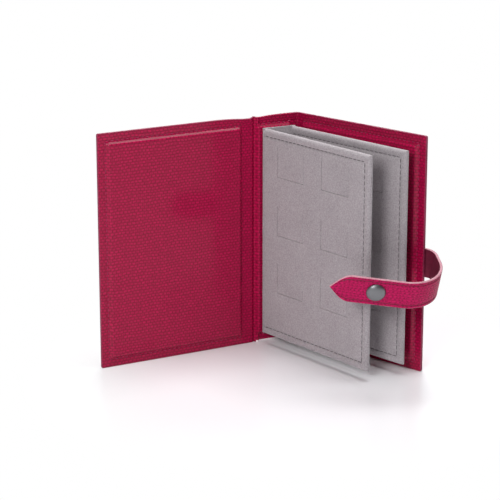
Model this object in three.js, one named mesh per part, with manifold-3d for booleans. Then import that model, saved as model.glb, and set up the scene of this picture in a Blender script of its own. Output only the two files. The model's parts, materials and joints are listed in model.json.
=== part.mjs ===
// Earring book: a leather case that opens like a book, with padded suede leaves and a snap strap.
// It stands on its lower edges. Millimetres, +Z up, X along the spine from the front cover to the
// back cover, -Y towards the leaves' free edges. The origin is the middle of the spine's lower edge.
import * as THREE from 'three';
import { mergeVertices } from 'three/addons/utils/BufferGeometryUtils.js';
import Module from 'manifold-3d';

const wasm = await Module();
wasm.setup();

// Case: outer leather and lining sewn together along the edges, with boards between them
const CASE_HEIGHT = 160;
const COVER_REACH = 112; // from a fold line to a cover's free edge
const FOLD_SPACING = 37.4; // between the two fold lines
const FOLD_ZONE = 11; // soft width without board, centred on a fold line
const LEATHER = 1.2;
const FOLD_DEPTH = 0.8; // from the leather's outer face in to the fold line
const LINING = 0.8;
const BOARD = 1.6;
const SEWN_EDGE = 8; // from a sewn edge in to the board
const FOLD_EDGE = 2.2; // from a folding edge in to the board
const LINING_RISE = 1.8; // width of the step where the lining climbs over the board
const COVER_CORNER = 1.2;
const LAYER_GAP = 0.25; // between layers that lie on each other
const SEAM_GAP = 0.3; // between neighbours that meet edge to edge
const POCKET_CLEARANCE = 0.1; // past the layer gap, round a board's edge

// How far each piece stands open, in degrees from the closed book
const FRONT_OPEN = 86;
const BACK_OPEN = 22;
const LEAF_OPEN = [14.5, 18.5];

// Page block: two padded leaves, each on a suede tape that is sewn to a gusset on the spine
const GUSSET = 0.8;
const GUSSET_MARGIN = 1; // past the outer leaves
const LEAF_PLACE = [-6.3, 13.9]; // each tape's sewn edge along the spine
const TAPE = 0.8;
const LEAF_WIDTH = 104.4;
const LEAF_HEIGHT = 144.7;
const LEAF_FOOT = 7.3; // height of a leaf's lower edge
const LEAF_THICKNESS = 4;
const LEAF_CORNER = 4.5;
const LEAF_ROOT_ROUND = 0.8; // soft corners beside the tape
const CORE = 1.6;
const CORE_CORNER = 1; // smallest corner inside the padding
const STITCH_INSET = 5; // sewn channel along the upper, lower and free edges
const CHANNEL_DEPTH = 0.6;
const CHANNEL_HALF = 1.1;

// Flaps cut into each leaf's front suede, hanging from their upper edge
const FLAP_WIDTH = 26;
const FLAP_HEIGHT = 19;
const FLAP_THICKNESS = 1;
const FLAP_CORNER = 3;
const FLAP_GAP = 0.4;
const FLAP_COLUMNS = 2;
const FLAP_COLUMN_PITCH = 44.2;
const FLAP_INNER_MARGIN = 14.3; // from the leaf's inner edge to the first column
const FLAP_ROWS = 3;
const FLAP_ROW_PITCH = 40.5;
const FLAP_TOP_MARGIN = 12; // from the leaf's upper edge to the upper row's fold

// Strap: sewn to the back cover, curled round the free edges, with a snap on its tongue
const STRAP_WIDTH = 19.8;
const STRAP = 1.8;
const STRAP_HEIGHT = 74.6; // middle of the strap
const ANCHOR_LENGTH = 34; // sewn length on the back cover
const STRAP_OVERHANG = 5; // from the back cover's free edge to the middle of the root bend
const ROOT_BEND_BEFORE = 4.4; // soft length on the anchor's side of the root bend
const ROOT_BEND_AFTER = 3.2; // soft length on the loop's side
const TONGUE_RELIEF = 0.4; // free length on each side of the tongue's fold
const STRAP_BEND = 34.5; // root bend as the strap hangs loose, in degrees
const WRAP_BEND = 62; // root bend when it is snapped shut, in degrees
const STRAP_DROOP = 18.5; // tilt of the loose strap, in degrees
const CURL_RADIUS = 24.5;
const CURL = 102; // in degrees
const TONGUE_LENGTH = 47.5;
const TIP_LENGTH = 14; // pointed part of the tongue
const SNAP_FROM_TIP = 29.8;

// Snap: cap and socket on the tongue, stud on the front cover
const CAP_RADIUS = 6.25;
const CAP_HEIGHT = 2.6;
const CAP_RIM = 0.9;
const SOCKET_RADIUS = 4.6;
const SOCKET_HEIGHT = 2;
const SOCKET_BORE = 2.2;
const SOCKET_BORE_DEPTH = 1.5;
const STEM_RADIUS = 1.5;
const STEM_CLEARANCE = 0.3;
const FLANGE_RADIUS = 4.5;
const FLANGE = 0.8;
const POST_RADIUS = 1.8;
const POST_HEIGHT = 1.3;
const WASHER = 0.8;
const WASHER_CLEARANCE = 0.5;

const rad = THREE.MathUtils.degToRad;
const ROUND_STEPS = 24; // sides of a turned piece
const CORNER_STEPS = 4; // steps in a rounded corner

const finish = (color, roughness, metalness = 0) =>
  new THREE.MeshStandardMaterial({ color, roughness, metalness });
const crimsonLeather = finish('#a8123f', 0.35);
const crimsonLining = finish('#b01245', 0.4);
const greyBoard = finish('#8c8479', 0.9);
const greySuede = finish('#a39d9f', 0.95);
const greyFoam = finish('#6f6c70', 0.95);
const satinMetal = finish('#8b8d8f', 0.35, 1);

// Depth into the case of each layer, from the fold line: negative is outwards
const leatherOut = -FOLD_DEPTH;
const leatherIn = leatherOut + LEATHER;
const liningFoot = leatherIn + LAYER_GAP;
const liningTop = liningFoot + LINING;
const boardTop = liningFoot + BOARD;
const panUnder = boardTop + LAYER_GAP;
const panTop = panUnder + LINING;

const book = new THREE.Group();

/** Adds a named piece to a group. */
function addPiece(group, name, geometry, material) {
  const mesh = new THREE.Mesh(geometry, material);
  mesh.name = name;
  group.add(mesh);
}

/** A group at a place in plan, turned about the upright axis. */
function hingedGroup(parent, x, y, degrees) {
  const group = new THREE.Group();
  group.position.set(x, y, 0);
  group.rotation.z = rad(degrees);
  parent.add(group);
  return group;
}

/** An outline drawn in reach and height, as a plate between two depths; depth runs to -Y. */
function plate(outline, near, far) {
  const options = { depth: far - near, bevelEnabled: false, curveSegments: CORNER_STEPS };
  const geometry = new THREE.ExtrudeGeometry(outline, options);
  return geometry.translate(0, 0, near).rotateX(Math.PI / 2);
}

/** An outline drawn in plan, raised from one height to another. */
function upright(outline, low, high) {
  const options = { depth: high - low, bevelEnabled: false, curveSegments: CORNER_STEPS };
  return new THREE.ExtrudeGeometry(outline, options).translate(0, 0, low);
}

/** A rectangle whose corners at the start and at the end have their own radii. */
function roundedOutline(start, end, low, high, startRadius, endRadius) {
  const shape = new THREE.Shape();
  const corners = [
    [start, low, startRadius, 1],
    [end, low, endRadius, 1.5],
    [end, high, endRadius, 0],
    [start, high, startRadius, 0.5],
  ];
  for (const [x, y, radius, turn] of corners) {
    const inX = x === start ? x + radius : x - radius;
    const inY = y === low ? y + radius : y - radius;
    if (radius > 0) shape.absarc(inX, inY, radius, turn * Math.PI, (turn + 0.5) * Math.PI);
    else if (turn === 1) shape.moveTo(x, y);
    else shape.lineTo(x, y);
  }
  return shape;
}

/** A round hole in an outline. */
function roundHole(x, y, radius) {
  return new THREE.Path().absarc(x, y, radius, 0, 2 * Math.PI, true);
}

/** One loop of points round a rectangle with rounded corners, at a depth. */
function ring(box, depth) {
  const { start, end, low, high, startRadius, endRadius } = box;
  const corners = [
    [end - endRadius, low + endRadius, endRadius, -0.5],
    [end - endRadius, high - endRadius, endRadius, 0],
    [start + startRadius, high - startRadius, startRadius, 0.5],
    [start + startRadius, low + startRadius, startRadius, 1],
  ];
  const points = [];
  for (const [x, z, radius, turn] of corners) {
    for (let step = 0; step <= CORNER_STEPS; step += 1) {
      const angle = Math.PI * (turn + (0.5 * step) / CORNER_STEPS);
      points.push([x + radius * Math.cos(angle), -depth, z + radius * Math.sin(angle)]);
    }
  }
  return points;
}

/** A closed solid through loops of points, with a flat face over the first and the last loop. */
function ringSolid(rings) {
  const count = rings[0].length;
  const triangles = [];
  for (let layer = 0; layer + 1 < rings.length; layer += 1) {
    for (let i = 0; i < count; i += 1) {
      const a = layer * count + i;
      const b = layer * count + ((i + 1) % count);
      triangles.push(a, b, b + count, a, b + count, a + count);
    }
  }
  const last = (rings.length - 1) * count;
  for (let i = 1; i + 1 < count; i += 1) {
    triangles.push(0, i + 1, i, last, last + i, last + i + 1);
  }
  const geometry = new THREE.BufferGeometry();
  geometry.setAttribute('position', new THREE.Float32BufferAttribute(rings.flat(2), 3));
  geometry.setIndex(triangles);
  geometry.computeVertexNormals();
  return geometry;
}

/** A geometry as a solid that can be cut. */
function toSolid(geometry) {
  const bare = geometry.clone();
  bare.deleteAttribute('normal');
  if (bare.hasAttribute('uv')) bare.deleteAttribute('uv');
  const merged = mergeVertices(bare);
  const vertProperties = new Float32Array(merged.attributes.position.array);
  const triVerts = new Uint32Array(merged.index.array);
  return new wasm.Manifold(new wasm.Mesh({ numProp: 3, vertProperties, triVerts }));
}

/** A solid as a geometry again. */
function toGeometry(solid) {
  const mesh = solid.getMesh();
  const geometry = new THREE.BufferGeometry();
  geometry.setAttribute('position', new THREE.BufferAttribute(mesh.vertProperties, 3));
  geometry.setIndex(new THREE.BufferAttribute(mesh.triVerts, 1));
  geometry.computeVertexNormals();
  return geometry;
}

/** A turned piece about the Y axis, from radius and height pairs. */
function turned(profile) {
  const points = profile.map(([radius, height]) => new THREE.Vector2(radius, height));
  return new THREE.LatheGeometry(points, ROUND_STEPS);
}

/** The lining of one sheet: flat along its edges and raised over the board. */
function liningPan(start, end, startEdge, endEdge, startRadius, endRadius) {
  const pocket = LAYER_GAP + POCKET_CLEARANCE;
  const profile = [
    [pocket, panUnder],
    [pocket + LINING_RISE / 2, liningFoot],
    [Infinity, liningFoot],
    [Infinity, liningTop],
    [LINING_RISE, liningTop],
    [0, panTop],
  ];
  const rings = profile.map(([beforeBoard, depth]) => {
    const inset = (edge) => Math.max(edge - beforeBoard, 0);
    const box = {
      start: start + inset(startEdge),
      end: end - inset(endEdge),
      low: inset(SEWN_EDGE),
      high: CASE_HEIGHT - inset(SEWN_EDGE),
      startRadius,
      endRadius,
    };
    return ring(box, depth);
  });
  return ringSolid(rings);
}

/** Leather, board and lining of one sheet of the case, between two places along it. */
function caseSheet(group, name, start, end, startFree, endFree, stud) {
  const startEdge = startFree ? SEWN_EDGE : FOLD_EDGE;
  const endEdge = endFree ? SEWN_EDGE : FOLD_EDGE;
  const startRadius = startFree ? COVER_CORNER : 0;
  const endRadius = endFree ? COVER_CORNER : 0;
  const leather = roundedOutline(start, end, 0, CASE_HEIGHT, startRadius, endRadius);
  const boardHigh = CASE_HEIGHT - SEWN_EDGE;
  const boardStart = start + startEdge;
  const boardEnd = end - endEdge;
  const board = roundedOutline(boardStart, boardEnd, SEWN_EDGE, boardHigh, startRadius, endRadius);
  if (stud) {
    leather.holes.push(roundHole(stud.x, stud.z, STEM_RADIUS + STEM_CLEARANCE));
    board.holes.push(roundHole(stud.x, stud.z, FLANGE_RADIUS + WASHER_CLEARANCE));
  }
  const softStart = Math.max(startRadius, LAYER_GAP);
  const softEnd = Math.max(endRadius, LAYER_GAP);
  const lining = liningPan(start, end, startEdge, endEdge, softStart, softEnd);
  addPiece(group, `${name}_leather`, plate(leather, leatherOut, leatherIn), crimsonLeather);
  addPiece(group, `${name}_board`, plate(board, liningFoot, boardTop), greyBoard);
  addPiece(group, `${name}_lining`, lining, crimsonLining);
}

/** Plan outline of a soft strip that bends between two sheets, from a near to a far depth. */
function bentStrip(side, bendDegrees, near, far) {
  const steps = 6;
  const bend = rad(bendDegrees);
  const half = FOLD_ZONE / 2 - SEAM_GAP;
  const shortening = Math.abs(bend) < 1e-6 ? 1 / steps : Math.sin(bend / 2 / steps) / Math.tan(bend / 2);
  const chord = 2 * half * shortening;
  let x = FOLD_SPACING / 2 - half;
  let y = 0;
  const nearSide = [];
  const farSide = [];
  for (let step = 0; step <= steps; step += 1) {
    const turn = (bend * step) / steps;
    const inX = -Math.sin(turn);
    const inY = -Math.cos(turn);
    nearSide.push(new THREE.Vector2(side * (x + near * inX), y + near * inY));
    farSide.push(new THREE.Vector2(side * (x + far * inX), y + far * inY));
    const heading = turn + bend / 2 / steps;
    x += chord * Math.cos(heading);
    y -= chord * Math.sin(heading);
  }
  return new THREE.Shape([...nearSide, ...farSide.reverse()]);
}

/** The two soft layers across one fold. */
function foldStrips(name, side, openDegrees) {
  const leather = bentStrip(side, 90 - openDegrees, leatherOut, leatherIn);
  const lining = bentStrip(side, 90 - openDegrees, liningFoot, liningTop);
  addPiece(book, `${name}_fold_leather`, upright(leather, 0, CASE_HEIGHT), crimsonLeather);
  addPiece(book, `${name}_fold_lining`, upright(lining, 0, CASE_HEIGHT), crimsonLining);
}

// The strap's shape round the closed book sets its straight run and the stud's place
const strapDepth = FOLD_DEPTH + SEAM_GAP + STRAP / 2; // outside the back cover's fold line
const snapStack = SEAM_GAP + FLANGE + SEAM_GAP + SOCKET_HEIGHT + SEAM_GAP; // tongue off the cover
const wrapSpan = strapDepth + FOLD_SPACING + FOLD_DEPTH + snapStack + STRAP / 2;
const wrapStart = rad(WRAP_BEND);
const wrapEnd = rad(WRAP_BEND + CURL);
const curlSpan = CURL_RADIUS * (Math.cos(wrapStart) - Math.cos(wrapEnd));
const strapRun = (wrapSpan - curlSpan) / Math.sin(wrapStart);
const curlReach = CURL_RADIUS * (Math.sin(wrapEnd) - Math.sin(wrapStart));
const bendReach = COVER_REACH + STRAP_OVERHANG;
const foldReach = bendReach + strapRun * Math.cos(wrapStart) + curlReach;
const snapFromFold = TONGUE_LENGTH - SNAP_FROM_TIP;
const studReach = foldReach - snapFromFold;

// Case: spine, two covers and the soft folds between them
const foldHalf = FOLD_ZONE / 2;
const spineHalf = FOLD_SPACING / 2 - foldHalf;
const studPlace = { x: -studReach, z: STRAP_HEIGHT };
const spine = hingedGroup(book, 0, 0, 0);
caseSheet(spine, 'spine', -spineHalf, spineHalf, false, false, null);
const frontCover = hingedGroup(book, -FOLD_SPACING / 2, 0, 90 - FRONT_OPEN);
caseSheet(frontCover, 'front', -COVER_REACH, -foldHalf, true, false, studPlace);
const backCover = hingedGroup(book, FOLD_SPACING / 2, 0, BACK_OPEN - 90);
caseSheet(backCover, 'back', foldHalf, COVER_REACH, false, true, null);
foldStrips('front', -1, FRONT_OPEN);
foldStrips('back', 1, BACK_OPEN);

// Gusset on the spine's lining, wide enough for both leaves
const gussetNear = panTop + SEAM_GAP;
const gussetFar = gussetNear + GUSSET;
const leafTop = LEAF_FOOT + LEAF_HEIGHT;
const gussetStart = LEAF_PLACE[0] - LEAF_THICKNESS - GUSSET_MARGIN;
const gussetEnd = LEAF_PLACE[1] + GUSSET_MARGIN;
const gusset = roundedOutline(gussetStart, gussetEnd, LEAF_FOOT, leafTop, 0, 0);
addPiece(book, 'page_gusset', plate(gusset, gussetNear, gussetFar), greySuede);

// Each tape lies across its leaf's root: sewn to the gusset at one edge and to the leaf at the other
const tapeFoldDepth = gussetFar + SEAM_GAP + TAPE / 2;
const tapeSpan = LEAF_THICKNESS - TAPE / 2;
const leafHalf = LEAF_THICKNESS / 2;
const leafStart = TAPE / 2 + SEAM_GAP;
const leafEnd = leafStart + LEAF_WIDTH;
const leafMiddle = LEAF_FOOT + LEAF_HEIGHT / 2;
const coreInset = STITCH_INSET + CHANNEL_HALF + LAYER_GAP;

const flapPlaces = [];
for (let row = FLAP_ROWS - 1; row >= 0; row -= 1) {
  const fold = LEAF_FOOT + LEAF_HEIGHT - FLAP_TOP_MARGIN - row * FLAP_ROW_PITCH;
  for (let column = 0; column < FLAP_COLUMNS; column += 1) {
    const start = leafStart + FLAP_INNER_MARGIN + column * FLAP_COLUMN_PITCH;
    flapPlaces.push({ start, foot: fold - FLAP_HEIGHT });
  }
}

/** One half of a leaf's padded suede: rolled edges, a sewn channel and a flat middle. */
function leafSkin() {
  const seam = LAYER_GAP / 2;
  const pastRoot = -3 * STITCH_INSET; // keeps the channel off the root, which is cut flat
  const bandTop = 0.97 * leafHalf;
  const profile = [
    [coreInset, coreInset, CORE / 2 + LAYER_GAP],
    [coreInset - LAYER_GAP, coreInset - LAYER_GAP, seam],
    [0.1 * leafHalf, pastRoot, seam],
    [0, pastRoot, 0.3 * leafHalf],
    [0.1 * leafHalf, pastRoot, 0.58 * leafHalf],
    [0.4 * leafHalf, pastRoot, 0.83 * leafHalf],
    [0.95 * leafHalf, pastRoot, bandTop],
    [STITCH_INSET - 2 * CHANNEL_HALF, pastRoot + CHANNEL_HALF, bandTop],
    [STITCH_INSET - 0.8 * CHANNEL_HALF, pastRoot + 2 * CHANNEL_HALF, leafHalf - 0.5 * CHANNEL_DEPTH],
    [STITCH_INSET, pastRoot + 3 * CHANNEL_HALF, leafHalf - CHANNEL_DEPTH],
    [STITCH_INSET + CHANNEL_HALF, pastRoot + 4 * CHANNEL_HALF, leafHalf],
  ];
  const rings = profile.map(([inset, rootInset, depth]) => {
    const radius = Math.max(LEAF_CORNER - inset, CORE_CORNER);
    const box = {
      start: leafStart + rootInset,
      end: leafEnd - inset,
      low: LEAF_FOOT + inset,
      high: leafTop - inset,
      startRadius: radius,
      endRadius: radius,
    };
    return ring(box, depth);
  });
  const wide = leafEnd + LEAF_THICKNESS;
  const rootMiddle = leafStart + LEAF_ROOT_ROUND;
  const plan = new THREE.Shape();
  plan.absarc(rootMiddle, LEAF_ROOT_ROUND - leafHalf, LEAF_ROOT_ROUND, Math.PI, 1.5 * Math.PI);
  plan.lineTo(wide, -leafHalf);
  plan.lineTo(wide, leafHalf);
  plan.absarc(rootMiddle, leafHalf - LEAF_ROOT_ROUND, LEAF_ROOT_ROUND, 0.5 * Math.PI, Math.PI);
  const trim = toSolid(upright(plan, 0, leafTop + LEAF_FOOT));
  return toSolid(ringSolid(rings)).intersect(trim);
}

/** The opening that a flap closes, as an outline with a gap all round. */
function flapOpening(place) {
  const start = place.start - FLAP_GAP;
  const end = place.start + FLAP_WIDTH + FLAP_GAP;
  const low = place.foot - FLAP_GAP;
  const high = place.foot + FLAP_HEIGHT + FLAP_THICKNESS / 2 + FLAP_GAP;
  return roundedOutline(start, end, low, high, 0, 0);
}

/** A suede flap: rounded lower corners, and a round upper edge that turns on its fold. */
function flapSolid(place) {
  const half = FLAP_THICKNESS / 2;
  const fold = place.foot + FLAP_HEIGHT;
  const section = new THREE.Shape();
  section.moveTo(-half, place.foot);
  section.lineTo(half, place.foot);
  section.lineTo(half, fold);
  section.absarc(0, fold, half, 0, Math.PI);
  const options = { depth: FLAP_WIDTH, bevelEnabled: false, curveSegments: CORNER_STEPS };
  const bar = new THREE.ExtrudeGeometry(section, options);
  const across = new THREE.Vector3(1, 0, 0);
  const outward = new THREE.Vector3(0, 1, 0);
  const up = new THREE.Vector3(0, 0, 1);
  bar.applyMatrix4(new THREE.Matrix4().makeBasis(outward, up, across));
  bar.translate(place.start, half - leafHalf, 0);
  const low = place.foot + FLAP_CORNER;
  const left = place.start + FLAP_CORNER;
  const right = place.start + FLAP_WIDTH - FLAP_CORNER;
  const shape = new THREE.Shape();
  shape.absarc(left, low, FLAP_CORNER, Math.PI, 1.5 * Math.PI);
  shape.absarc(right, low, FLAP_CORNER, 1.5 * Math.PI, 2 * Math.PI);
  shape.lineTo(place.start + FLAP_WIDTH, fold + FLAP_THICKNESS);
  shape.lineTo(place.start, fold + FLAP_THICKNESS);
  return toSolid(bar).intersect(toSolid(plate(shape, 0, LEAF_THICKNESS)));
}

/** One leaf with its tape, core, two suede halves and flaps. */
function buildLeaf(index) {
  const name = `leaf_${index + 1}`;
  const root = hingedGroup(book, LEAF_PLACE[index], -tapeFoldDepth, LEAF_OPEN[index] - 90);
  const tape = new THREE.Shape();
  tape.absarc(0, 0, TAPE / 2, 0, Math.PI);
  tape.absarc(0, -tapeSpan, TAPE / 2, Math.PI, 2 * Math.PI);
  addPiece(root, `${name}_tape`, upright(tape, LEAF_FOOT, leafTop), greySuede);

  const page = hingedGroup(root, 0, -tapeSpan / 2, 0);
  const inset = coreInset + LAYER_GAP;
  const coreLow = LEAF_FOOT + inset;
  const coreHigh = leafTop - inset;
  const coreOutline = roundedOutline(leafStart + inset, leafEnd - inset, coreLow, coreHigh, 0, 0);
  let core = toSolid(plate(coreOutline, -CORE / 2, CORE / 2));
  let front = leafSkin();
  for (const place of flapPlaces) {
    const opening = toSolid(plate(flapOpening(place), -LEAF_THICKNESS, LEAF_THICKNESS));
    core = core.subtract(opening);
    front = front.subtract(opening);
  }
  const back = toGeometry(leafSkin()).translate(0, 0, -leafMiddle).rotateX(Math.PI);
  addPiece(page, `${name}_core`, toGeometry(core), greyFoam);
  addPiece(page, `${name}_front_suede`, toGeometry(front), greySuede);
  addPiece(page, `${name}_back_suede`, back.translate(0, 0, leafMiddle), greySuede);
  flapPlaces.forEach((place, flap) => {
    addPiece(page, `${name}_flap_${flap + 1}`, toGeometry(flapSolid(place)), greySuede);
  });
}
buildLeaf(0);
buildLeaf(1);

// Strap anchor, sewn flat on the back cover's outer face
const strapLow = STRAP_HEIGHT - STRAP_WIDTH / 2;
const strapHigh = STRAP_HEIGHT + STRAP_WIDTH / 2;
const anchorStart = COVER_REACH - ANCHOR_LENGTH;
const anchorEnd = bendReach - ROOT_BEND_BEFORE - SEAM_GAP;
const anchor = roundedOutline(anchorStart, anchorEnd, strapLow, strapHigh, COVER_CORNER, 0);
const anchorPlate = plate(anchor, -strapDepth - STRAP / 2, -strapDepth + STRAP / 2);
addPiece(backCover, 'strap_anchor', anchorPlate, crimsonLeather);

// Loose strap: tilts as it hangs, runs straight, then curls towards the leaves
const backHeading = rad(BACK_OPEN - 90);
const rootBend = new THREE.Vector3(
  FOLD_SPACING / 2 + bendReach * Math.cos(backHeading) - strapDepth * Math.sin(backHeading),
  bendReach * Math.sin(backHeading) + strapDepth * Math.cos(backHeading),
  STRAP_HEIGHT,
);
const loose = new THREE.Group();
loose.position.copy(rootBend);
loose.rotation.set(rad(STRAP_DROOP), 0, backHeading - rad(STRAP_BEND), 'XYZ');
book.add(loose);

/** The soft length between the anchor and the loop, which bends and twists. */
function rootBendSolid() {
  const steps = 6;
  const up = new THREE.Vector3(0, 0, 1);
  const along = new THREE.Vector3(Math.cos(backHeading), Math.sin(backHeading), 0);
  const looseAlong = new THREE.Vector3(1, 0, 0).applyEuler(loose.rotation);
  const looseUp = up.clone().applyEuler(loose.rotation);
  const corners = [[-1, -1], [1, -1], [1, 1], [-1, 1]];
  const rings = [];
  for (let step = 0; step <= steps; step += 1) {
    const t = step / steps;
    const middle = rootBend.clone();
    middle.addScaledVector(along, -ROOT_BEND_BEFORE * (1 - t) * (1 - t));
    middle.addScaledVector(looseAlong, ROOT_BEND_AFTER * t * t);
    const heading = along.clone().multiplyScalar(ROOT_BEND_BEFORE * (1 - t));
    heading.addScaledVector(looseAlong, ROOT_BEND_AFTER * t).normalize();
    const outward = up.clone().lerp(looseUp, t).cross(heading).normalize();
    const across = heading.clone().cross(outward);
    const section = corners.map(([out, high]) => {
      const corner = middle.clone();
      corner.addScaledVector(outward, (out * STRAP) / 2);
      corner.addScaledVector(across, (high * STRAP_WIDTH) / 2);
      return corner.toArray();
    });
    rings.push(section);
  }
  return ringSolid(rings);
}
addPiece(book, 'strap_root_bend', rootBendSolid(), crimsonLeather);

/** Plan outline of the strap's straight run and curl. */
function loopOutline() {
  const steps = 16;
  const half = STRAP / 2;
  const start = ROOT_BEND_AFTER + SEAM_GAP;
  const outer = [new THREE.Vector2(start, half)];
  const inner = [new THREE.Vector2(start, -half)];
  const sweep = rad(CURL) - TONGUE_RELIEF / CURL_RADIUS;
  for (let step = 0; step <= steps; step += 1) {
    const turn = (sweep * step) / steps;
    const x = strapRun + CURL_RADIUS * Math.sin(turn);
    const y = CURL_RADIUS * (Math.cos(turn) - 1);
    outer.push(new THREE.Vector2(x + half * Math.sin(turn), y + half * Math.cos(turn)));
    inner.push(new THREE.Vector2(x - half * Math.sin(turn), y - half * Math.cos(turn)));
  }
  return new THREE.Shape([...inner, ...outer.reverse()]);
}
const loop = upright(loopOutline(), -STRAP_WIDTH / 2, STRAP_WIDTH / 2);
addPiece(loose, 'strap_loop', loop, crimsonLeather);

// Tongue with its pointed tip, and the snap's cap and socket on it
const curlEndX = strapRun + CURL_RADIUS * Math.sin(rad(CURL));
const curlEndY = CURL_RADIUS * (Math.cos(rad(CURL)) - 1);
const tongueGroup = hingedGroup(loose, curlEndX, curlEndY, -CURL);

/** Outline of the tongue: parallel sides, round shoulders, and a point with hollow flanks. */
function tongueOutline() {
  const half = STRAP_WIDTH / 2;
  const shoulder = TONGUE_LENGTH - TIP_LENGTH;
  const round = shoulder + 0.42 * TIP_LENGTH;
  const taper = shoulder + 0.68 * TIP_LENGTH;
  const taperHalf = 0.44 * half;
  const shape = new THREE.Shape();
  shape.moveTo(TONGUE_RELIEF, -half);
  shape.lineTo(shoulder, -half);
  shape.bezierCurveTo(round, -half, taper, -taperHalf, TONGUE_LENGTH, 0);
  shape.bezierCurveTo(taper, taperHalf, round, half, shoulder, half);
  shape.lineTo(TONGUE_RELIEF, half);
  shape.holes.push(roundHole(snapFromFold, 0, STEM_RADIUS + STEM_CLEARANCE));
  return shape;
}
const tongue = plate(tongueOutline(), -STRAP / 2, STRAP / 2);
addPiece(tongueGroup, 'strap_tongue', tongue, crimsonLeather);

const capFoot = STRAP / 2 + SEAM_GAP;
const capDome = CAP_HEIGHT - CAP_RIM;
const cap = turned([
  [0, -STRAP / 2],
  [STEM_RADIUS, -STRAP / 2],
  [STEM_RADIUS, capFoot],
  [CAP_RADIUS - CAP_RIM / 2, capFoot],
  [CAP_RADIUS, capFoot + CAP_RIM / 2],
  [CAP_RADIUS - CAP_RIM / 2, capFoot + CAP_RIM],
  [0.8 * CAP_RADIUS, capFoot + CAP_RIM + 0.35 * capDome],
  [0.45 * CAP_RADIUS, capFoot + CAP_RIM + 0.85 * capDome],
  [0, capFoot + CAP_HEIGHT],
]);
addPiece(tongueGroup, 'snap_cap', cap.translate(snapFromFold, 0, 0), satinMetal);

const socketTop = -STRAP / 2 - SEAM_GAP;
const socketFoot = socketTop - SOCKET_HEIGHT;
const socket = turned([
  [0, socketFoot + SOCKET_BORE_DEPTH],
  [SOCKET_BORE, socketFoot + SOCKET_BORE_DEPTH],
  [SOCKET_BORE, socketFoot],
  [SOCKET_RADIUS - CAP_RIM, socketFoot],
  [SOCKET_RADIUS - CAP_RIM, socketTop - CAP_RIM],
  [SOCKET_RADIUS, socketTop - CAP_RIM],
  [SOCKET_RADIUS, socketTop],
  [0, socketTop],
]);
addPiece(tongueGroup, 'snap_socket', socket.translate(snapFromFold, 0, 0), satinMetal);

// Stud on the front cover's outer face, held by a washer behind the leather
const flangeFoot = FOLD_DEPTH + SEAM_GAP;
const flangeTop = flangeFoot + FLANGE;
const postTop = flangeTop + POST_HEIGHT;
const washerNear = -liningFoot;
const washerFar = washerNear - WASHER;
const stud = turned([
  [0, washerFar],
  [STEM_RADIUS, washerFar],
  [STEM_RADIUS, flangeFoot],
  [FLANGE_RADIUS, flangeFoot],
  [FLANGE_RADIUS, flangeFoot + FLANGE / 2],
  [POST_RADIUS + CAP_RIM, flangeTop],
  [0.85 * POST_RADIUS, flangeTop],
  [POST_RADIUS, flangeTop + 0.6 * POST_HEIGHT],
  [0.6 * POST_RADIUS, postTop],
  [0, postTop],
]);
addPiece(frontCover, 'snap_stud', stud.translate(studPlace.x, 0, studPlace.z), satinMetal);
const washerBore = STEM_RADIUS + STEM_CLEARANCE;
const washer = turned([
  [washerBore, washerFar],
  [FLANGE_RADIUS, washerFar],
  [FLANGE_RADIUS, washerNear],
  [washerBore, washerNear],
  [washerBore, washerFar],
]);
addPiece(frontCover, 'stud_washer', washer.translate(studPlace.x, 0, studPlace.z), satinMetal);

export default book;
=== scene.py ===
# %% [markdown]
# # An earring book that stands open
#
# The object is a small leather case that opens like a book. Its covers and spine are one sewn skin
# of embossed leather over boards, with padded suede leaves inside and a strap with a snap.
#
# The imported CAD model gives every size, place and joint. This lesson dresses it: each soft piece is
# a surface worked out with numpy in millimetres, and put into the frame, which is in metres.

import json
import math
from functools import partial

import bmesh
import bpy
import numpy as np
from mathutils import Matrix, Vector


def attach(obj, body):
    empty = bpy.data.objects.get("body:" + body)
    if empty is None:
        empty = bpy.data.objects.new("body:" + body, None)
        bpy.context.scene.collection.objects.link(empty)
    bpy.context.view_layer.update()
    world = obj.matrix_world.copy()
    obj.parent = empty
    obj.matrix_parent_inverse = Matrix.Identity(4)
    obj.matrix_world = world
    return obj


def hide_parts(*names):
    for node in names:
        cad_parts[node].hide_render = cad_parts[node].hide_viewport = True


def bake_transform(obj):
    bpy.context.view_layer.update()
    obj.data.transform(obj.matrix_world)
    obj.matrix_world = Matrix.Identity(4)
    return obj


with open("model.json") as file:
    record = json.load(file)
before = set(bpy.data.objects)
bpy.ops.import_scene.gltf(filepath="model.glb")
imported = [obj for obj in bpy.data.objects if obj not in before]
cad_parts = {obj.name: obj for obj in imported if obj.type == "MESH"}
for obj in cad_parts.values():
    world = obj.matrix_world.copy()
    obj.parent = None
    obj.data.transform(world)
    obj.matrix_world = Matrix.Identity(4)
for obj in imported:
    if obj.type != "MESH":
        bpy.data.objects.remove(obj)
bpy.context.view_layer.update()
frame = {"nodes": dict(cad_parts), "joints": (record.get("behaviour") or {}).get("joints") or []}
joints = {joint["name"]: joint for joint in frame["joints"]}
MM = 0.001

# %% [markdown]
# ## Where things are
#
# Each stiff sheet of the case, and each leaf, has its own small frame: an origin on its fold, a
# direction along its reach and a direction that it faces. The joints know all of these. A joint's
# lower limit is the closed book, so it also says how far the piece stands open.

# %% Places and directions


def place(joint):
    """A joint's point, in millimetres."""
    return np.array(joints[joint]["pos_m"]) / MM


def open_angle(joint):
    """How far a joint stands from the closed book, in radians."""
    return math.radians(-joints[joint]["range_deg"][0])


def vertex_places(mesh):
    """A mesh's vertices, in millimetres."""
    points = np.empty(len(mesh.vertices) * 3)
    mesh.vertices.foreach_get("co", points)
    return points.reshape(-1, 3) / MM


def extent(node, origin, direction):
    """Lowest and highest reach of a CAD node from an origin along a direction, in millimetres."""
    reach = (vertex_places(frame["nodes"][node].data) - origin) @ direction
    return reach.min(), reach.max()


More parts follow.
